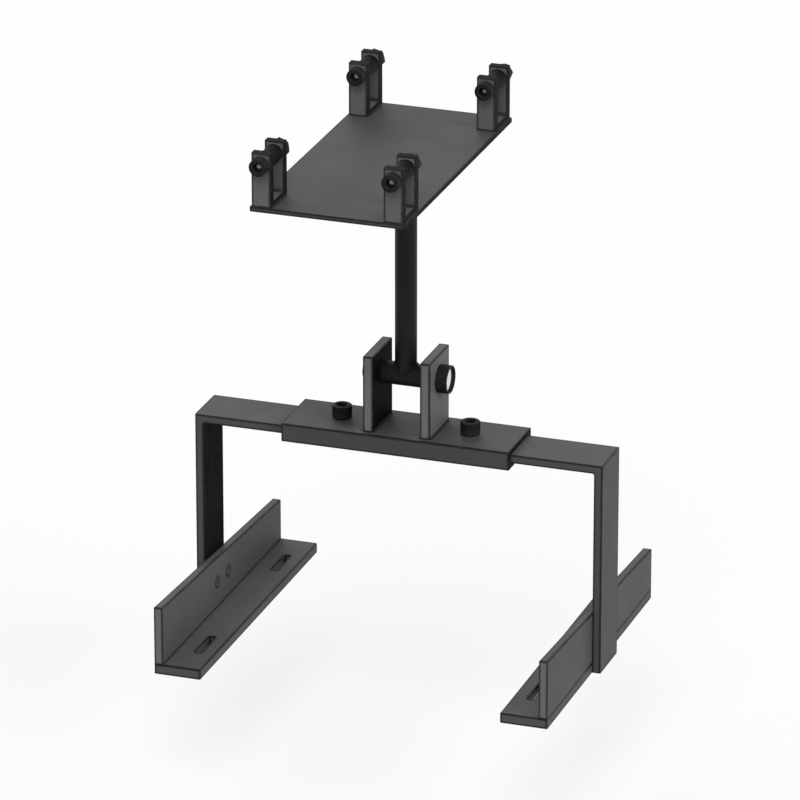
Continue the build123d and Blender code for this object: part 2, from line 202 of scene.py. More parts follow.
class ShaderGraph(Graph):
    """A surface material under construction."""

    ALIKE = (0.9998, 0.99)  # flat face and edge: how alike the true and the rounded normals are
    SQUARE = (0.97, 0.90)  # flat face and edge: the largest part of the normal
    BEVEL_SAMPLES = 8

    def __init__(self, name: str) -> None:
        """Starts a material with a bare Principled shader.

        Args:
            name: The material's name.
        """
        self.material = bpy.data.materials.new(name)
        self.material.use_nodes = True
        super().__init__(self.material.node_tree)
        self.surface = self.tree.nodes["Principled BSDF"]
        coordinates = self.add("ShaderNodeTexCoord")
        self.place = coordinates.outputs["Object"]
        self.normal = coordinates.outputs["Normal"]

    def noise(self, size: float, layers: float = 2.0, stretch: Colour = (1.0, 1.0, 1.0)) -> Socket:
        """Returns noise from 0 to 1, with clouds of a size, finer layers, and a stretch along X, Y and Z."""
        inputs = {"Vector": self.vector_math("MULTIPLY", self.place, stretch), "Detail": layers}
        return self.out("ShaderNodeTexNoise", {"Scale": 1 / size, **inputs})

    def clouds(self, pattern: Clouds, level: float = 0.0) -> Socket:
        """Returns a cloudy pattern, with a level added to both of its values."""
        noise = self.noise(pattern.size, pattern.layers, pattern.stretch)
        return self.ramp(noise, *pattern.span, level + pattern.low, level + pattern.high)

    def mix(self, factor: Socket, first: Socket | Colour, second: Socket | Colour) -> Socket:
        """Mixes two colours by a factor."""
        inputs = {0: factor, 6: first, 7: second}
        return self.add("ShaderNodeMix", inputs, data_type="RGBA").outputs[2]

    def edges(self, width: float) -> Socket:
        """A mask of the sharp edges and of the narrow faces that break them.

        Args:
            width: How far the mask reaches from an edge.

        Returns:
            A socket that is 1 on the edges and 0 on flat faces.
        """
        true_normal = self.add("ShaderNodeNewGeometry").outputs["Normal"]
        rounded = self.out("ShaderNodeBevel", {"Radius": width}, samples=self.BEVEL_SAMPLES)
        normals = {0: rounded, 1: true_normal}
        alike = self.add("ShaderNodeVectorMath", normals, operation="DOT_PRODUCT").outputs["Value"]
        size = self.vector_math("ABSOLUTE", self.normal)
        x, y, z = self.add("ShaderNodeSeparateXYZ", {0: size}).outputs
        squarest = self.math("MAXIMUM", self.math("MAXIMUM", x, y), z)
        return self.math("MAXIMUM", self.ramp(alike, *self.ALIKE), self.ramp(squarest, *self.SQUARE))

    def set(self, name: str, value: Socket | Colour | float) -> None:
        """Sets or links one socket of the shader."""
        self.feed(self.surface.inputs[name], value)


@dataclass(frozen=True)
class Finish:
    """A finish: a colour and a gloss that are both a little cloudy, over a fine grain."""

    name: str
    colour: Colour
    roughness: float
    specular: float
    tone: Clouds
    sheen: Clouds
    grain: float
    grain_depth: float

    def material(self) -> Material:
        """Makes the finish.

        Returns:
            The finish as a material.
        """
        graph = ShaderGraph(self.name)
        self.paint(graph)
        graph.set("Specular IOR Level", self.specular)
        relief = {"Height": graph.noise(self.grain), "Distance": self.grain_depth}
        graph.set("Normal", graph.out("ShaderNodeBump", relief))
        return graph.material

    def tint(self, graph: ShaderGraph) -> Socket:
        """Returns the colour, with its clouds."""
        return graph.scale(self.colour, graph.clouds(self.tone))

    def gloss(self, graph: ShaderGraph) -> Socket:
        """Returns the roughness, with its clouds."""
        return graph.clouds(self.sheen, self.roughness)

    def paint(self, graph: ShaderGraph) -> None:
        """Sets the colour and the gloss."""
        graph.set("Base Color", self.tint(graph))
        graph.set("Roughness", self.gloss(graph))


@dataclass(frozen=True)
class RubbedFinish(Finish):
    """A finish that shows another colour and is smoother where it is rubbed or thin."""

    polish: float = 0.08  # how much smoother it is there

    def rub(self, graph: ShaderGraph, worn: Socket, under: Colour) -> None:
        """Sets the colour and the gloss, by a mask that is 1 where another colour shows through."""
        graph.set("Base Color", graph.mix(worn, self.tint(graph), under))
        graph.set("Roughness", graph.math("MULTIPLY_ADD", worn, -self.polish, self.gloss(graph)))


@dataclass(frozen=True)
class PowderCoat(RubbedFinish):
    """Baked powder coat: a little uneven in tone, with orange peel, and thin over black on the edges."""

    roughness: float = 0.58
    specular: float = 0.11
    tone: Clouds = Clouds(90 * MM, 0.955, 1.045)
    sheen: Clouds = Clouds(25 * MM, -0.03, 0.04)
    grain: float = 1.5 * MM
    grain_depth: float = 0.012 * MM
    specks: Clouds = Clouds(0.8 * MM, 0.965, 1.035, layers=1.0, span=(0.35, 0.65))
    edge_colour: Colour = (0.004, 0.0038, 0.0038)
    edge_width: float = 3.2 * MM
    edge_share: float = 0.96
    ragged: Clouds = Clouds(6 * MM, 0.8, 1.0, span=(0.3, 0.6))

    def tint(self, graph: ShaderGraph) -> Socket:
        """Returns the coat's colour, with its clouds and its specks."""
        tone = graph.math("MULTIPLY", graph.clouds(self.tone), graph.clouds(self.specks))
        return graph.scale(self.colour, tone)

    def paint(self, graph: ShaderGraph) -> None:
        """Sets the colour and the gloss, with the dark edges."""
        edges = graph.math("MULTIPLY", graph.edges(self.edge_width), graph.clouds(self.ragged))
        self.rub(graph, graph.math("MULTIPLY", edges, self.edge_share), self.edge_colour)


@dataclass(frozen=True)
class WeldCoat(PowderCoat):
    """The coat over a weld, blackened all over, so that it needs no dark edges."""

    name: str = "blackened_weld"
    colour: Colour = (0.014, 0.013, 0.013)

    def paint(self, graph: ShaderGraph) -> None:
        """Sets the colour and the gloss alone."""
        Finish.paint(self, graph)


@dataclass(frozen=True)
class BlackOxide(RubbedFinish):
    """Blackened steel of the fasteners, rubbed bright where a key has worn it."""

    name: str = "black_oxide"
    colour: Colour = (0.0170, 0.0145, 0.0150)
    roughness: float = 0.54
    specular: float = 0.04
    tone: Clouds = Clouds(5 * MM, 0.8, 1.25, layers=4.0)
    sheen: Clouds = Clouds(2.5 * MM, -0.07, 0.07)
    grain: float = 0.35 * MM
    grain_depth: float = 0.004 * MM
    bright: Colour = (0.42, 0.41, 0.40)
    metal: float = 0.9
    patches: Clouds = Clouds(1.2 * MM, 0.45, 1.0, span=(0.35, 0.6))

    def paint(self, graph: ShaderGraph) -> None:
        """Sets the black and the bright metal, by the wear that the mesh brings.

        Args:
            graph: The material.
        """
        wear = graph.add("ShaderNodeAttribute", attribute_name="wear").outputs["Fac"]
        rubbed = graph.math("MULTIPLY", wear, graph.clouds(self.patches))
        self.rub(graph, rubbed, self.bright)
        graph.set("Metallic", graph.math("MULTIPLY", rubbed, self.metal))


@dataclass(frozen=True)
class SatinBlack(Finish):
    """Satin black enamel of the pole, its barrel and the spacers, whose copies also make the black cut sides
    and the painted shade on inner faces.
    """

    name: str = "satin_black_enamel"
    colour: Colour = (0.0108, 0.0086, 0.0091)
    roughness: float = 0.46
    specular: float = 0.12
    tone: Clouds = Clouds(40 * MM, 1 - 0.17, 1 + 0.17)
    sheen: Clouds = Clouds(6 * MM, -0.05, 0.06, stretch=(1.0, 1.0, 0.12))
    grain: float = 1.1 * MM
    grain_depth: float = 0.008 * MM


@dataclass(frozen=True)
class PaleDisc(Finish):
    """Matt off-white plastic of the pivot cap."""

    name: str = "pale_plastic"
    colour: Colour = (0.97, 0.97, 0.96)
    roughness: float = 0.55
    specular: float = 0.5
    tone: Clouds = Clouds(9 * MM, 0.975, 1.02, layers=2.0)
    sheen: Clouds = Clouds(3 * MM, 0.0, 0.1, layers=2.0)
    grain: float = 0.5 * MM
    grain_depth: float = 0.006 * MM


@dataclass(frozen=True)
class BlackNylon(Finish):
    """Moulded black nylon of the friction washers."""

    name: str = "black_nylon"
    colour: Colour = (0.008, 0.008, 0.0085)
    roughness: float = 0.55
    specular: float = 0.1
    tone: Clouds = Clouds(2 * MM, 0.8, 1.3)
    sheen: Clouds = Clouds(0.8 * MM, 0.0, 0.15, layers=2.0)
    grain: float = 0.3 * MM
    grain_depth: float = 0.01 * MM


@dataclass(frozen=True)
class DullBrass(Finish):
    """Turned brass of the bushes and pads, dulled brown in patches."""

    name: str = "dull_brass"
    colour: Colour = (0.52, 0.36, 0.14)
    roughness: float = 0.30
    specular: float = 0.5
    tone: Clouds = Clouds(3 * MM, 0.0, 0.8, layers=4.0, span=(0.35, 0.7))
    sheen: Clouds = Clouds(3 * MM, 0.0, 0.22, layers=4.0, span=(0.35, 0.7))
    grain: float = 0.4 * MM
    grain_depth: float = 0.004 * MM
    dulled: Colour = (0.24, 0.15, 0.06)

    def tint(self, graph: ShaderGraph) -> Socket:
        """Returns the metal's colour, with its duller patches."""
        return graph.mix(graph.clouds(self.tone), self.colour, self.dulled)

    def paint(self, graph: ShaderGraph) -> None:
        """Sets the colour and the gloss of metal."""
        super().paint(graph)
        graph.set("Metallic", 1.0)


class Finishes:
    """The materials of the whole mount, each made once."""

    def __init__(self) -> None:
        """Makes every finish."""
        self.plate_coat = PowderCoat("plate_powder_coat", (0.057, 0.057, 0.057)).material()
        self.bracket_coat = PowderCoat("bracket_powder_coat", (0.116, 0.114, 0.115)).material()
        self.bar_coat = PowderCoat("bar_powder_coat", (0.062, 0.062, 0.062)).material()
        self.arm_coat = PowderCoat("arm_powder_coat", (0.070, 0.070, 0.070)).material()
        self.rail_coat = PowderCoat("rail_powder_coat", (0.078, 0.078, 0.078)).material()
        # Lighter copies of the bracket and rail coats for the front and back faces of the ears and rail
        # uprights: painted light, making up for the little light those faces get.
        self.bracket_painted_light = PowderCoat("bracket_painted_light_coat", (0.160, 0.157, 0.158)).material()
        self.rail_painted_light = PowderCoat("rail_painted_light_coat", (0.136, 0.136, 0.136)).material()
        self.weld_coat = WeldCoat().material()
        self.enamel = SatinBlack().material()
        self.cut_side = SatinBlack(
            "black_cut_side", (0.011, 0.0105, 0.0105), roughness=0.64, specular=0.03,
            tone=Clouds(6 * MM, 0.6, 1.4),
        ).material()
        # Near-black on the inner faces of the ears and arms: painted shade, for the shade that falls between
        # the parts.
        self.painted_shade_face = SatinBlack(
            "black_painted_shade_face", (0.0045, 0.0042, 0.0042), roughness=0.66, specular=0.02,
            tone=Clouds(9 * MM, 0.6, 1.4),
        ).material()
        self.spacer = SatinBlack(
            "spacer_black", (0.005, 0.0043, 0.0045), roughness=0.62, specular=0.05
        ).material()
        self.oxide = BlackOxide().material()
        self.cap = PaleDisc().material()
        self.brass = DullBrass().material()
        self.nylon = BlackNylon().material()


def each(stem: str, places: Iterable[str]) -> list[str]:
    """Returns the names of the like nodes at some places."""
    return [f"{stem}_{place}" for place in places]


def dress(material: Material, *nodes: str) -> None:
    """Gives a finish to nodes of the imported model.

    Args:
        material: The finish.
        *nodes: The nodes that keep their own shape.
    """
    for name in nodes:
        for slot in frame["nodes"][name].material_slots:
            slot.material = material
        log.info("dressed %s with %s", name, material.name)


def recoat(material: Material, faces: Faces, *nodes: str) -> None:
    """Gives a second material to some flat faces of nodes that already have their first: a black cut side, a
    lighter copy of the coat that is painted light, or a near-black that is painted shade.

    Args:
        material: The second finish.
        faces: Which faces it goes on. Of those that face upwards, only a node's highest are meant.
        *nodes: The nodes.
    """
    turned_enough = 0.9
    for name in nodes:
        node = frame["nodes"][name]
        mesh = node.data
        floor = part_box(name)[1].z - MM if faces is Faces.TOP_ENDS else -math.inf
        if material.name not in mesh.materials:
            mesh.materials.append(material)
        slot = mesh.materials.find(material.name)
        count = 0
        for face in mesh.polygons:
            turned = any(face.normal.dot(way) > turned_enough for way in faces.value)
            if turned and (node.matrix_world @ face.center).z > floor:
                face.material_index = slot
                count += 1
        log.info("recoated %d faces of %s with %s", count, name, material.name)


def finish_mesh(mesh: Mesh, crease: float = math.radians(32)) -> None:
    """Shades a mesh smooth between its creases."""
    mesh.polygons.foreach_set("use_smooth", np.ones(len(mesh.polygons), bool))
    mesh.set_sharp_from_angle(angle=crease)


def show(name: str, data: bpy.types.ID) -> bpy.types.Object:
    """Puts a mesh, a lamp or a camera in the scene.

    Args:
        name: The object's name.
        data: What it shows.

    Returns:
        The object.
    """
    shown = bpy.data.objects.new(name, data)
    bpy.context.scene.collection.objects.link(shown)
    return shown


def seat(piece: Piece, body: str, replaced: tuple[str, ...] = ()) -> None:
    """Joins a finished piece to the frame.

    Args:
        piece: The piece, in place.
        body: The body it moves with.
        replaced: The nodes that it stands for.
    """
    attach(piece, body)
    if replaced:
        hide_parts(*replaced)
    piece.data.calc_loop_triangles()
    log.info("made %s on %s, %d triangles", piece.name, body, len(piece.data.loop_triangles))


def on_face(node: str, facing: Facing) -> Vector:
    """The middle of the face of a node's box at which a fastener of that facing starts.

    Args:
        node: The node that the fastener stands for.
        facing: Which way its shank points.

    Returns:
        The point on its axis, at its head's face.
    """
    low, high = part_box(node)
    along = Euler(facing.value).to_matrix() @ Vector((0, 0, 1))
    half = (high - low) / 2
    reach = abs(along.x) * half.x + abs(along.y) * half.y + abs(along.z) * half.z
    return (low + high) / 2 - along * reach


@dataclass
class Turning:
    """A piece turned about +Z, whose radius may change with the angle, as on a hexagon or a thread.

    Its rings run from the piece's first point to its last with the metal on the left, so that
    the faces point outwards.
    """

    segments: int = 96
    rings: list[tuple[np.ndarray, np.ndarray, float]] = field(default_factory=list)

    @property
    def angles(self) -> np.ndarray:
        """The angle of each segment."""
        return np.linspace(0.0, FULL_TURN, self.segments, endpoint=False)

    def add(self, *rings: tuple) -> None:
        """Adds rings.

        Args:
            *rings: The height and the radius of each, as one number or as one for each angle, and
                how bright its finish is rubbed, from 0 to 1, which may be left out where it is 0.
        """
        flat = np.ones(self.segments)
        for height, radius, *wear in rings:
            self.rings.append((height * flat, radius * flat, wear[0] if wear else 0.0))

    def hexagon(self, across_flats: float) -> np.ndarray:
        """The radius of a hexagon at each angle, with a corner on +X."""
        from_flat = np.mod(self.angles, math.pi / 3) - math.pi / 6
        return across_flats / 2 / np.cos(from_flat)

    def knurl(self, radius: float, depth: float) -> np.ndarray:
        """The radius of a straight knurl with a tooth on every second segment."""
        return radius - depth * (np.arange(self.segments) % 2)

    def thread(self, start: float, end: float, radius: float, pitch: float) -> None:
        """Adds a right-handed screw thread that runs out at its start and is bevelled at its end.

        Args:
            start: The height at which the thread begins.
            end: The height of the piece's end.
            radius: The radius over the crests.
            pitch: The rise of one turn.
        """
        steps_a_turn = 8
        flank_slope = 1.25
        crest_share = 0.125
        root_depth = 1.2
        depth = THREAD_DEPTH * pitch
        root = radius - root_depth * depth
        count = math.ceil((end - start) / pitch * steps_a_turn)
        for height in np.linspace(start, end, count + 1):
            phase = np.mod(height / pitch - self.angles / FULL_TURN, 1.0)
            groove = np.clip(flank_slope * (1 - np.abs(2 * phase - 1)) - crest_share, 0.0, 1.0)
            run_out = min(1.0, (height - start) / pitch)
            bevel = root + (end - height)
            self.add((height, np.minimum(radius - depth * groove * run_out, bevel)))

    def mesh(self, name: str, closed: bool = False) -> Mesh:
        """Joins the rings into a closed skin.

        Args:
            name: The mesh's name.
            closed: Whether the last ring joins the first, as round a bore, with no poles.

        Returns:
            The mesh, with the point attribute wear.
        """
        turn = np.stack((np.cos(self.angles), np.sin(self.angles)), 1)
        points = [np.column_stack((turn * radius[:, None], height)) for height, radius, _ in self.rings]
        wear = [np.full(self.segments, worn) for _, _, worn in self.rings]
        here = np.arange(self.segments)
        there = np.roll(here, -1)
        faces = []
        last = len(self.rings) if closed else len(self.rings) - 1
        for index in range(last):
            low = index * self.segments
            high = (index + 1) % len(self.rings) * self.segments
            faces += np.stack((low + here, low + there, high + there, high + here), 1).tolist()
        if not closed:
            top = last * self.segments
            pole = top + self.segments
            faces += [(pole, int(b), int(a)) for a, b in zip(here, there)]
            faces += [(pole + 1, top + int(a), top + int(b)) for a, b in zip(here, there)]
            for height, _, worn in (self.rings[0], self.rings[-1]):
                points.append(np.array([[0.0, 0.0, height.mean()]]))
                wear.append(np.array([worn]))
        mesh = bpy.data.meshes.new(name)
        mesh.from_pydata(np.concatenate(points).tolist(), [], faces)
        mesh.attributes.new("wear", "FLOAT", "POINT").data.foreach_set("value", np.concatenate(wear))
        finish_mesh(mesh)
        return mesh


@dataclass(frozen=True)
class CapScrew:
    """A socket head cap screw: its head's face is at the origin, and its shank points up."""

    shank: float
    head: float
    head_length: float
    socket: float
    socket_depth: float
    pitch: float
    threaded: float = math.inf  # the length of its thread, which ends at the head at most
    length: float = 0.0  # set once its node is measured
    segments: int = 96
    bevel: float = 0.6 * MM
    edge_run: float = 1.6  # how far in the head's edge starts to round, in bevels
    seat_bevel: float = 0.3 * MM
    knurl_depth: float = 0.28 * MM
    knurl_margin: float = 1.3 * MM
    knurl_lead: float = 0.3 * MM
    mouth: float = 0.35 * MM
    drill: float = 0.24  # the drill point's radius, as a share of the socket
    drill_slope: float = 0.3
    drill_wear: float = 0.9
    wear_end: float = 1.02  # where the drill point's wear ends, in its radius
    mouth_wear: float = 0.03

    def mesh(self) -> Mesh:
        """Turns the screw.

        Returns:
            Its mesh.
        """
        turning = Turning(self.segments)
        self.cut_socket(turning)
        self.turn_head(turning)
        self.turn_shank(turning)
        return turning.mesh("cap_screw")

    def cut_socket(self, turning: Turning) -> None:
        """Adds the hexagon socket, with its drill point and its bevelled mouth.

        Args:
            turning: The screw so far.
        """
        hexagon = turning.hexagon(self.socket)
        drilled = self.drill * self.socket
        turning.add(
            (self.socket_depth + self.drill_slope * drilled, DRILL_TIP * self.socket, self.drill_wear),
            (self.socket_depth, drilled, self.drill_wear),
            (self.socket_depth, drilled * self.wear_end),
            (self.socket_depth, hexagon),
            (self.mouth, hexagon),
            (0.0, hexagon + self.mouth, self.mouth_wear),
        )

    def turn_head(self, turning: Turning) -> None:
        """Adds the head's face and its knurled side.

        Args:
            turning: The screw so far.
        """
        radius = self.head / 2
        knurl = turning.knurl(radius, self.knurl_depth)
        knurl_end = self.head_length - self.knurl_margin
        turning.add(
            (0.0, turning.hexagon(self.socket) + 2 * self.mouth),
            (0.0, radius - self.edge_run * self.bevel),
            (self.bevel / 4, radius - self.bevel),
            (self.bevel, radius),
            (self.knurl_margin, radius),
            (self.knurl_margin + self.knurl_lead, knurl),
            (knurl_end - self.knurl_lead, knurl),
            (knurl_end, radius),
            (self.head_length - self.seat_bevel, radius),
            (self.head_length, radius - self.seat_bevel),
        )

    def turn_shank(self, turning: Turning) -> None:
        """Adds the shank and its thread.

        Args:
            turning: The screw so far.
        """
        radius = self.shank / 2
        start = max(self.head_length, self.length - self.threaded)
        turning.add((self.head_length, radius))
        if start > self.head_length:
            turning.add((start, radius))
        turning.thread(start + THREAD_START, self.length, radius, self.pitch)


@dataclass(frozen=True)
class CupHeadBolt(CapScrew):
    """The pivot bolt: its head is a shallow cup, with the socket in the cup's floor."""

    cup: float = 23.4 * MM
    cup_depth: float = 5.8 * MM
    lip: float = 0.25 * MM
    rim: float = 0.45 * MM
    floor: float = 0.4  # the socket's plain floor, as a share of the socket
    floor_wear: float = 0.4
    key_wear: float = 0.3
    lip_wear: float = 0.15
    rim_wear: float = 0.1

    def cut_socket(self, turning: Turning) -> None:
        """Adds the socket and the cup round it.

        Args:
            turning: The screw so far.
        """
        hexagon = turning.hexagon(self.socket)
        socket_floor = self.cup_depth + self.socket_depth
        turning.add(
            (socket_floor, self.floor * self.socket, self.floor_wear),
            (socket_floor, hexagon, self.key_wear),
            (self.cup_depth, hexagon, self.key_wear),
            (self.cup_depth, self.cup / 2),
            (self.lip, self.cup / 2),
            (0.0, self.cup / 2 + self.lip, self.lip_wear),
        )

    def turn_head(self, turning: Turning) -> None:
        """Adds the cup's thin rim and the head's plain side.

        Args:
            turning: The screw so far.
        """
        radius = self.head / 2
        turning.add(
            (0.0, radius - self.rim, self.rim_wear),
            (self.rim, radius),
            (self.head_length - self.bevel, radius),
            (self.head_length, radius - self.bevel),
        )


@dataclass(frozen=True)
class FlatScrew:
    """A countersunk socket screw: its head's face is at the origin, and its shank points up."""

    shank: float
    length: float
    head: float
    head_height: float
    socket: float
    socket_depth: float
    pitch: float
    rim: float = 0.25 * MM
    segments: int = 48
    drill: float = 0.42  # the drill point's radius, and below it its depth, as shares of the socket
    drill_depth: float = 0.15
    drill_wear: float = 0.1
    key_wear: float = 0.3
    mouth_wear: float = 0.25

    def mesh(self) -> Mesh:
        """Turns the screw.

        Returns:
            Its mesh.
        """
        turning = Turning(self.segments)
        hexagon = turning.hexagon(self.socket)
        turning.add(
            (self.socket_depth + self.drill_depth * self.socket, DRILL_TIP * self.socket, self.drill_wear),
            (self.socket_depth, self.drill * self.socket, self.drill_wear),
            (self.socket_depth, hexagon),
            (self.rim, hexagon, self.key_wear),
            (0.0, hexagon + self.rim, self.mouth_wear),
            (0.0, self.head / 2 - self.rim),
            (self.rim / 2, self.head / 2),
            (self.rim, self.head / 2),
            (self.head_height, self.shank / 2),
        )
        turning.thread(self.head_height + self.pitch, self.length, self.shank / 2, self.pitch)
        return turning.mesh("flat_screw")


@dataclass(frozen=True)
class HexNut:
    """A hexagon nut that stands on the origin, its corners turned off at both ends."""

    across_flats: float
    height: float
    bore: float
    countersink: float = 0.7 * MM
    face: float = 0.95  # the face's width, as a share of the hexagon's
    slope: float = math.tan(math.radians(30))  # of the turned corners
    chamfer_steps: int = 8
    mouth_wear: float = 0.1
    side_wear: float = 0.02

    def mesh(self) -> Mesh:
        """Turns the nut.

        Returns:
            Its mesh.
        """
        turning = Turning()
        hexagon = turning.hexagon(self.across_flats)
        face_radius = self.across_flats / 2 * self.face
        mouth = self.bore / 2 + self.countersink
        turning.add((self.countersink, self.bore / 2), (0.0, mouth, self.mouth_wear))
        steps = np.linspace(0.0, (hexagon.max() - face_radius) * self.slope, self.chamfer_steps)
        for height in [*steps, *(self.height - steps[::-1])]:
            depth = min(height, self.height - height)
            turning.add((height, np.minimum(hexagon, face_radius + depth / self.slope), self.side_wear))
        turning.add((self.height, mouth, self.mouth_wear), (self.height - self.countersink, self.bore / 2))
        return turning.mesh("hex_nut", closed=True)


class GeometryGraph(Graph):
    """A Geometry Nodes tree with named inputs, which ends in Realize Instances and Set Material."""

    def __init__(self, name: str, inputs: dict[str, str]) -> None:
        """Starts the tree.

        Args:
            name: The tree's name.
            inputs: The socket type of each named input, besides Geometry and Material.
        """
        super().__init__(bpy.data.node_groups.new(name, "GeometryNodeTree"))
        kinds = {"Geometry": "NodeSocketGeometry", **inputs, "Material": "NodeSocketMaterial"}
        self.identifiers = {}
        for label, kind in kinds.items():
            socket = self.tree.interface.new_socket(label, in_out="INPUT", socket_type=kind)
            self.identifiers[label] = socket.identifier
        self.tree.interface.new_socket("Geometry", in_out="OUTPUT", socket_type="NodeSocketGeometry")
        self.given = self.add("NodeGroupInput").outputs

    def close(self, geometry: Socket) -> None:
        """Realizes the geometry, gives it the material and sends it out.

        Args:
            geometry: What the tree made.
        """
        real = self.out("GeometryNodeRealizeInstances", {0: geometry})
        inputs = {"Geometry": real, "Material": self.given["Material"]}
        self.add("NodeGroupOutput", {0: self.out("GeometryNodeSetMaterial", inputs)})

    def grow(self, name: str, host: Mesh, material: Material, **values: object) -> Piece:
        """Runs the tree on a host mesh.

        Args:
            name: The new piece's name.
            host: The points or paths that the tree works on.
            material: The finish of what it makes.
            **values: The named inputs.

        Returns:
            The piece, as a plain mesh.
        """
        carrier = show(f"{name}_host", host)
        modifier = carrier.modifiers.new("Grow", "NODES")
        modifier.node_group = self.tree
        for label, value in {"Material": material, **values}.items():
            modifier[self.identifiers[label]] = value
        evaluated = carrier.evaluated_get(bpy.context.evaluated_depsgraph_get())
        mesh = bpy.data.meshes.new_from_object(evaluated)
        carrier.modifiers.remove(modifier)
        bpy.data.objects.remove(carrier)
        mesh.name = name
        return show(name, mesh)


class FastenerTree(GeometryGraph):
    """Puts one fastener at every point of the host, each turned about its shank by a random angle."""

    def __init__(self) -> None:
        """Builds the tree."""
        inputs = {"Fastener": "NodeSocketObject", "Facing": "NodeSocketVector", "Seed": "NodeSocketInt"}
        super().__init__("fasteners_on_points", inputs)
        pattern = self.add("GeometryNodeObjectInfo", {"Object": self.given["Fastener"]})
        facing = self.out("FunctionNodeEulerToRotation", {0: self.given["Facing"]})
        turns = {0: (0.0, 0.0, 0.0), 1: (0.0, 0.0, FULL_TURN), "Seed": self.given["Seed"]}
        spin = self.out("FunctionNodeRandomValue", turns, data_type="FLOAT_VECTOR")
        turned = self.out("FunctionNodeEulerToRotation", {0: spin})
        pose = {"Rotation": facing, "Rotate By": turned}
        rotation = self.out("FunctionNodeRotateRotation", pose, rotation_space="LOCAL")
        placed = {
            "Points": self.given["Geometry"],
            "Instance": pattern.outputs["Geometry"],
            "Rotation": rotation,
        }
        self.close(self.out("GeometryNodeInstanceOnPoints", placed))


class WeldTree(GeometryGraph):
    """Lays a rippled weld bead along every path of the host."""

    RIPPLE_STEPS = 6.0  # the points along a bead in one ripple
    SECTION_POINTS = 20  # the points round a bead
    END_SIZE = 0.35  # a bead's size at its end, as a share of its full size
    BOW = 0.3  # how far the ripples bow back at the flanks, in ripples
    WANDER_CLOUD = 9 * MM  # the length over which a bead's size wanders

    def __init__(self) -> None:
        """Builds the tree."""
        names = ("Radius", "Ripple Pitch", "Ripple Height", "End Taper", "Wander", "Seed")
        super().__init__("weld_bead", dict.fromkeys(names, "NodeSocketFloat"))
        given = self.given
        step = self.math("DIVIDE", given["Ripple Pitch"], self.RIPPLE_STEPS)
        paths = self.out("GeometryNodeMeshToCurve", {0: given["Geometry"]})
        spaced = {"Curve": paths, "Length": step}
        even = self.out("GeometryNodeResampleCurve", spaced, mode="LENGTH")
        along = self.add("GeometryNodeSplineParameter").outputs["Length"]
        even = self.keep(even, "along", along)
        sides = {"Resolution": self.SECTION_POINTS, "Radius": given["Radius"]}
        section = self.out("GeometryNodeCurvePrimitiveCircle", sides)
        around = self.add("GeometryNodeSplineParameter").outputs["Factor"]
        section = self.keep(section, "around", around)
        swept = {"Curve": even, "Profile Curve": section, "Scale": self.taper(along), "Fill Caps": True}
        bead = self.out("GeometryNodeCurveToMesh", swept)
        normal = self.out("GeometryNodeInputNormal")
        lifted = {"Geometry": bead, "Offset": self.scale(normal, self.relief())}
        rippled = self.out("GeometryNodeSetPosition", lifted)
        smooth = {"Geometry": rippled, "Shade Smooth": True}
        self.close(self.out("GeometryNodeSetShadeSmooth", smooth))

    def keep(self, geometry: Socket, name: str, value: Socket) -> Socket:
        """Stores a number on every point of a curve."""
        inputs = {"Geometry": geometry, "Name": name, "Value": value}
        return self.out("GeometryNodeStoreNamedAttribute", inputs, data_type="FLOAT")

    def kept(self, name: str) -> Socket:
        """Reads a number stored by keep."""
        return self.out("GeometryNodeInputNamedAttribute", {"Name": name}, data_type="FLOAT")

    def taper(self, along: Socket) -> Socket:
        """Makes the bead smaller at the ends of an open path.

        Args:
            along: How far along its path a point is.

        Returns:
            The bead's share of its full size.
        """
        whole = self.add("GeometryNodeSplineLength").outputs["Length"]
        nearest = self.math("MINIMUM", along, self.math("SUBTRACT", whole, along))
        share = self.math("DIVIDE", nearest, self.given["End Taper"])
        rounded = self.math("POWER", self.ramp(share, 0.0, 1.0), 0.5)
        size = self.ramp(rounded, 0.0, 1.0, self.END_SIZE, 1.0)
        closed = self.out("GeometryNodeInputSplineCyclic")
        return self.math("MAXIMUM", size, closed)

    def relief(self) -> Socket:
        """Makes the ripples, which bow back at the bead's flanks, and the slow wander of its size.

        Returns:
            How far the surface stands out.
        """
        given = self.given
        angle = self.math("MULTIPLY", self.kept("around"), FULL_TURN)
        bow = self.math("MULTIPLY", self.math("COSINE", angle), self.BOW)
        phase = self.math("ADD", self.math("DIVIDE", self.kept("along"), given["Ripple Pitch"]), bow)
        wave = self.math("ABSOLUTE", self.math("SINE", self.math("MULTIPLY", phase, math.pi)))
        ripple = self.math("MULTIPLY", self.math("SUBTRACT", wave, 1.0), given["Ripple Height"])
        position = self.out("GeometryNodeInputPosition")
        place = {"Vector": position, "W": given["Seed"], "Scale": 1 / self.WANDER_CLOUD}
        noise = self.out("ShaderNodeTexNoise", place, noise_dimensions="4D")
        wander = self.math("MULTIPLY", self.math("SUBTRACT", noise, 0.5), given["Wander"])
        return self.math("ADD", ripple, wander)


@dataclass
class WeldBead:
    """The size of a bead, and the paths it is laid on, each with whether it closes on itself."""

    tree: WeldTree
    radius: float
    pitch: float = 1.5 * MM
    height: float = 0.22 * MM
    taper: float = 3.0 * MM
    wander: float = 0.35 * MM
    paths: list[tuple[list[Vector], bool]] = field(default_factory=list)

    def lay(self, name: str, material: Material, seed: float) -> Piece:
        """Makes the beads of all paths as one piece.

        Args:
            name: The piece's name.
            material: The beads' finish.
            seed: The seed of the wander.

        Returns:
            The piece.
        """
        points, edges = [], []
        for path, closed in self.paths:
            first = len(points)
            points += [tuple(point) for point in path]
            edges += [(index, index + 1) for index in range(first, len(points) - 1)]
            if closed:
                edges.append((len(points) - 1, first))
        host = bpy.data.meshes.new("weld_paths")
        host.from_pydata(points, edges, [])
        size = {"Radius": self.radius, "Ripple Pitch": self.pitch, "Ripple Height": self.height}
        change = {"End Taper": self.taper, "Wander": self.wander, "Seed": seed}
        return self.tree.grow(name, host, material, **size, **change)


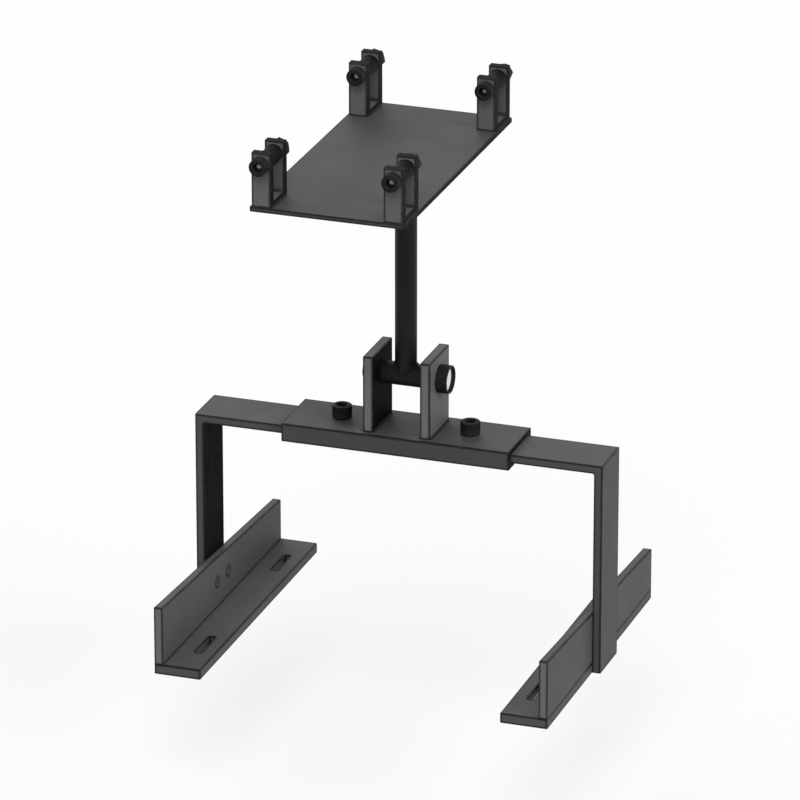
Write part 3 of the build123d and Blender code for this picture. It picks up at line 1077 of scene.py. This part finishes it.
@dataclass
class Assembly:
    """A sub-assembly of the mount, with what finishes, fastens and welds it."""

    finishes: Finishes
    fasteners: FastenerTree
    welds: WeldTree

    def build(self) -> None:
        """Builds and dresses the sub-assembly."""
        raise NotImplementedError

    def fasten(
        self, name: str, body: str, mesh: Mesh, nodes: list[str], facing: Facing, seed: int,
        steps: tuple[float, ...] = (0.0,),
    ) -> None:
        """Makes a set of black fasteners in place of their nodes.

        Args:
            name: The set's name.
            body: The body it moves with.
            mesh: One fastener.
            nodes: The nodes that it stands for.
            facing: Which way the shanks point.
            seed: The seed of their angles.
            steps: How far behind the middle of its node each fastener of a row is.
        """
        places = [on_face(node, facing) + Vector((0, step, 0)) for node in nodes for step in steps]
        pattern = show("fastener_pattern", mesh)
        host = bpy.data.meshes.new("points")
        host.from_pydata([tuple(place) for place in places], [], [])
        given = {"Fastener": pattern, "Facing": facing.value, "Seed": seed}
        piece = self.fasteners.grow(name, host, self.finishes.oxide, **given)
        bpy.data.objects.remove(pattern)
        finish_mesh(piece.data)
        seat(piece, body, tuple(nodes))

    def stand(self, name: str, body: str, mesh: Mesh, node: str, facing: Facing) -> None:
        """Makes one black fastener in place of its node.

        Args:
            name: The piece's name.
            body: The body it moves with.
            mesh: Its mesh, which points up from the origin.
            node: The node that it stands for.
            facing: Which way its shank points.
        """
        turn = Euler(facing.value).to_matrix().to_4x4()
        mesh.transform(Matrix.Translation(on_face(node, facing)) @ turn)
        mesh.materials.append(self.finishes.oxide)
        seat(show(name, mesh), body, (node,))

    def weld_feet(
        self, name: str, body: str, nodes: list[str], bead: float, margin: float, seed: float
    ) -> None:
        """Lays a bead along both sides of each node's foot.

        Args:
            name: The beads' name.
            body: The body they move with.
            nodes: The nodes.
            bead: The beads' radius.
            margin: How far the beads stop from the ends of the foot.
            seed: The seed of their wander.
        """
        beads = WeldBead(self.welds, bead)
        for node in nodes:
            low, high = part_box(node)
            ends = (low.y + margin, high.y - margin)
            beads.paths += [([Vector((x, y, low.z)) for y in ends], False) for x in (low.x, high.x)]
        seat(beads.lay(name, self.finishes.weld_coat, seed), body)


@dataclass
class CeilingHanger(Assembly):
    """The plate under the ceiling, with its four clevises and what bolts through them."""

    bolt: CapScrew = CapScrew(
        shank=10 * MM, head=16 * MM, head_length=9 * MM, socket=8 * MM, socket_depth=5 * MM,
        pitch=1.5 * MM, threaded=11.75 * MM,
    )
    nut: HexNut = HexNut(across_flats=16 * MM, height=8 * MM, bore=10.1 * MM)
    bead: float = 1.6 * MM

    def build(self) -> None:
        """Builds and dresses the sub-assembly."""
        clevises = each("clevis", CORNERS)
        dress(self.finishes.plate_coat, "ceiling_plate")
        dress(self.finishes.bracket_coat, *clevises)
        recoat(self.finishes.cut_side, Faces.BOTH_SIDES, "ceiling_plate", *clevises)
        recoat(self.finishes.cut_side, Faces.TOP_ENDS, *clevises)
        dress(self.finishes.spacer, *each("hanger_spacer", CORNERS))
        bolts = each("hanger_bolt", CORNERS)
        low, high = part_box(bolts[0])
        bolt = replace(self.bolt, length=high.y - low.y)
        self.fasten("hanger_bolts", "hanger", bolt.mesh(), bolts, Facing.BACK, seed=3)
        nuts = each("hanger_nut", CORNERS)
        self.fasten("hanger_nuts", "hanger", self.nut.mesh(), nuts, Facing.BACK, seed=8)
        self.weld_feet("clevis_welds", "hanger", clevises, self.bead, 2 * self.bead, seed=1.0)


@dataclass
class PoleAndBarrel(Assembly):
    """The pole, the cross barrel under it, and the bearings in the barrel's ends."""

    top_bead: float = 2.0 * MM
    saddle_bead: float = 1.5 * MM
    ring_points: int = 72

    def build(self) -> None:
        """Builds and dresses the sub-assembly."""
        dress(self.finishes.enamel, "pole", "pivot_barrel")
        dress(self.finishes.brass, *each("pivot_bush", SIDES))
        dress(self.finishes.nylon, *each("friction_washer", SIDES))
        low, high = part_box("pole")
        radius = (high.x - low.x) / 2
        middle = (low + high) / 2
        barrel_low, barrel_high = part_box("pivot_barrel")
        barrel_radius = (barrel_high.y - barrel_low.y) / 2
        barrel_z = (barrel_low.z + barrel_high.z) / 2
        top, saddle = [], []
        for index in range(self.ring_points):
            angle = index * FULL_TURN / self.ring_points
            x, y = radius * math.cos(angle), radius * math.sin(angle)
            top.append(Vector((middle.x + x, middle.y + y, high.z)))
            rise = math.sqrt(barrel_radius**2 - y**2)
            saddle.append(Vector((middle.x + x, middle.y + y, barrel_z + rise)))
        self.weld_round("pole_top_weld", self.top_bead, top, seed=2.0)
        self.weld_round("pole_saddle_weld", self.saddle_bead, saddle, seed=3.0)

    def weld_round(self, name: str, bead: float, path: list[Vector], seed: float) -> None:
        """Lays a bead that closes on itself."""
        ring = WeldBead(self.welds, bead, paths=[(path, True)])
        seat(ring.lay(name, self.finishes.enamel, seed), "hanger")


@dataclass
class TiltHead(Assembly):
    """The ears on the clamp sleeve, and the pivot bolt with its cap and nut."""

    bolt: CupHeadBolt = CupHeadBolt(
        shank=10 * MM, head=26 * MM, head_length=11 * MM, socket=8 * MM, socket_depth=3 * MM,
        pitch=1.5 * MM, threaded=10.75 * MM,
    )
    nut: HexNut = HexNut(across_flats=17 * MM, height=7 * MM, bore=10.1 * MM)
    bead: float = 1.9 * MM

    def build(self) -> None:
        """Builds and dresses the sub-assembly."""
        ears = each("ear", SIDES)
        dress(self.finishes.bracket_coat, *ears)
        # The ears' front and back faces take a lighter copy of their coat: painted light.
        recoat(self.finishes.bracket_painted_light, Faces.FRONT_AND_BACK, *ears)
        # The ears' inner faces are near-black: painted shade.
        recoat(self.finishes.painted_shade_face, Faces.RIGHT_FACE, "ear_left")
        recoat(self.finishes.painted_shade_face, Faces.LEFT_FACE, "ear_right")
        dress(self.finishes.bar_coat, "clamp_sleeve")
        recoat(self.finishes.cut_side, Faces.BOTH_SIDES, "clamp_sleeve")
        dress(self.finishes.cap, "pivot_cap")
        low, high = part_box("pivot_bolt")
        bolt = replace(self.bolt, length=high.x - low.x)
        self.stand("pivot_bolt_threaded", "cradle", bolt.mesh(), "pivot_bolt", Facing.LEFT)
        self.stand("pivot_nut_chamfered", "cradle", self.nut.mesh(), "pivot_nut", Facing.LEFT)
        self.weld_feet("ear_welds", "cradle", ears, self.bead, self.bead, seed=4.0)


@dataclass
class ClampScrews(Assembly):
    """The two screws in the sleeve's top, with the pads that press on the arms."""

    screw: CapScrew = CapScrew(
        shank=12 * MM, head=18 * MM, head_length=11.5 * MM, socket=10 * MM, socket_depth=6 * MM,
        pitch=1 * MM, segments=108,
    )
    tip_gap: float = 0.05 * MM

    def build(self) -> None:
        """Builds and dresses both clamps."""
        for side in SIDES:
            node = f"clamp_screw_{side}"
            low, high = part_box(node)
            screw = replace(self.screw, length=high.z - low.z - self.tip_gap)
            self.stand(f"{node}_threaded", f"screw_{side}", screw.mesh(), node, Facing.DOWN)
        dress(self.finishes.brass, *each("clamp_pad", SIDES))


@dataclass
class ArmsAndRails(Assembly):
    """The two arms, with the rails that carry the load and the screws that hold them."""

    rail_screw: FlatScrew = FlatScrew(
        shank=6 * MM, length=14 * MM, head=11 * MM, head_height=3 * MM, socket=4 * MM,
        socket_depth=2.1 * MM, pitch=1 * MM,
    )
    rail_steps: tuple[float, ...] = (-14 * MM, 14 * MM)
    shelf_screw: FlatScrew = FlatScrew(
        shank=4 * MM, length=21 * MM, head=7.4 * MM, head_height=2.2 * MM, socket=2.5 * MM,
        socket_depth=1.54 * MM, pitch=0.7 * MM,
    )
    shelf_steps: tuple[float, ...] = (-120 * MM, 0.0, 120 * MM)

    def build(self) -> None:
        """Builds and dresses both arms."""
        for side, sign in SIDES.items():
            inner = Faces.LEFT_FACE if sign > 0 else Faces.RIGHT_FACE
            outwards = Facing.RIGHT if sign > 0 else Facing.LEFT
            arm = f"arm_{side}"
            dress(self.finishes.arm_coat, arm)
            # The arm's inner face is near-black: painted shade.
            recoat(self.finishes.painted_shade_face, inner, arm)
            dress(self.finishes.rail_coat, f"rail_upright_{side}", f"rail_shelf_{side}")
            # The uprights' front and back faces take a lighter copy of their coat: painted light.
            recoat(self.finishes.rail_painted_light, Faces.FRONT_AND_BACK, f"rail_upright_{side}")
            for kind, screw, facing, seed, steps in (
                ("rail", self.rail_screw, outwards, 5, self.rail_steps),
                ("shelf", self.shelf_screw, Facing.UP, 6, self.shelf_steps),
            ):
                node = f"{kind}_screws_{side}"
                self.fasten(f"{node}_threaded", arm, screw.mesh(), [node], facing, seed, steps)


@dataclass(frozen=True)
class Lamp:
    """An even, soft lamp: where its light comes from, the angle it fills, and how bright it is."""

    side: Colour
    spread: float  # softens its shadows
    level: float  # the share of its own colour that a white face turned to the lamp shows

    def hang(self, name: str) -> None:
        """Hangs the lamp.

        Args:
            name: Its name.
        """
        lamp = bpy.data.lights.new(name, "SUN")
        lamp.angle = self.spread
        lamp.energy = self.level * math.pi
        show(name, lamp).rotation_euler = (-Vector(self.side)).to_track_quat("-Z", "Y").to_euler()


@dataclass
class Studio:
    """The pale floor, the soft lights and the camera of the photograph."""

    floor_z: float = -0.64
    floor_reach: float = 30.0
    floor_seen: float = 0.85
    floor_bounce: float = 0.42
    floor_whiteness: float = 0.68
    fill: float = 0.42
    key: Lamp = Lamp((0.85, -0.30, 0.43), math.radians(30), 0.477)
    overhead: Lamp = Lamp((0.10, -0.62, 0.78), math.radians(30), 0.458)
    rear: Lamp = Lamp((-0.62, 0.62, 0.48), math.radians(45), 0.30)
    anchor: Colour = (0.0, 62 * MM, -312.7 * MM)
    azimuth: float = math.radians(19.05)
    elevation: float = math.radians(21.95)
    camera_distance: float = 6.3
    aim_right: float = -5.4 * MM
    aim_up: float = 22.86 * MM
    lens: float = 315.0
    sensor: float = 36.0

    def build(self) -> None:
        """Builds the whole studio."""
        self.make_camera()
        self.make_world()
        self.make_floor()
        self.key.hang("key")
        self.overhead.hang("overhead")
        self.rear.hang("rear")
        bpy.context.scene.view_settings.view_transform = "Standard"

    def make_camera(self) -> None:
        """Puts the camera where the drawing's edges were fitted from."""
        flat = math.cos(self.elevation)
        side, front = math.sin(self.azimuth), math.cos(self.azimuth)
        back = Vector((side * flat, -front * flat, math.sin(self.elevation)))
        right = Vector((front, side, 0))
        up = back.cross(right)
        anchor = Vector(self.anchor)
        camera = show("camera", bpy.data.cameras.new("camera"))
        camera.data.lens = self.lens
        camera.data.sensor_width = self.sensor
        camera.location = anchor + back * self.camera_distance
        target = anchor + right * self.aim_right + up * self.aim_up
        camera.rotation_euler = (target - camera.location).to_track_quat("-Z", "Y").to_euler()
        bpy.context.scene.camera = camera

    def make_world(self) -> None:
        """Makes the even white surround."""
        world = bpy.data.worlds.new("surround")
        world.use_nodes = True
        graph = Graph(world.node_tree)
        background = world.node_tree.nodes["Background"]
        graph.feed(background.inputs["Color"], WHITE)
        graph.feed(background.inputs["Strength"], graph.ramp(graph.seen(), 0.0, 1.0, self.fill, 1.0))
        bpy.context.scene.world = world

    def make_floor(self) -> None:
        """Makes the floor, white to look at, with the object's shadow on it, and clear from below."""
        reach = self.floor_reach
        corners = [(x * reach, y * reach, self.floor_z) for x, y in ((-1, -1), (1, -1), (1, 1), (-1, 1))]
        mesh = bpy.data.meshes.new("floor")
        mesh.from_pydata(corners, [], [(0, 1, 2, 3)])
        floor = show("floor", mesh)
        material = bpy.data.materials.new("pale_floor")
        material.use_nodes = True
        tree = material.node_tree
        tree.nodes.remove(tree.nodes["Principled BSDF"])
        graph = Graph(tree)
        seen = graph.seen()
        tone = graph.ramp(seen, 0.0, 1.0, self.floor_bounce, self.floor_seen)
        matt = graph.out("ShaderNodeBsdfDiffuse", {"Color": tone})
        white = graph.out("ShaderNodeEmission", {"Color": WHITE, "Strength": 1.0})
        share = graph.math("MULTIPLY", seen, self.floor_whiteness)
        lit = graph.out("ShaderNodeMixShader", {0: share, 1: matt, 2: white})
        below = graph.add("ShaderNodeNewGeometry").outputs["Backfacing"]
        clear = graph.out("ShaderNodeBsdfTransparent")
        surface = graph.out("ShaderNodeMixShader", {0: below, 1: lit, 2: clear})
        graph.feed(tree.nodes["Material Output"].inputs["Surface"], surface)
        mesh.materials.append(material)


def clear_startup() -> None:
    """Removes what the empty file came with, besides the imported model."""
    ours = [*frame["nodes"].values(), *frame["bodies"].values()]
    for thing in list(bpy.data.objects):
        if thing not in ours:
            bpy.data.objects.remove(thing)


def main() -> None:
    """Builds the studio and every sub-assembly."""
    logging.basicConfig(level=logging.INFO, format="%(message)s")
    clear_startup()
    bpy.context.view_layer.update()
    Studio().build()
    finishes = Finishes()
    fasteners = FastenerTree()
    welds = WeldTree()
    for assembly in (CeilingHanger, PoleAndBarrel, TiltHead, ClampScrews, ArmsAndRails):
        assembly(finishes, fasteners, welds).build()
        log.info("built %s", assembly.__name__)


if __name__ == "__main__":
    main()
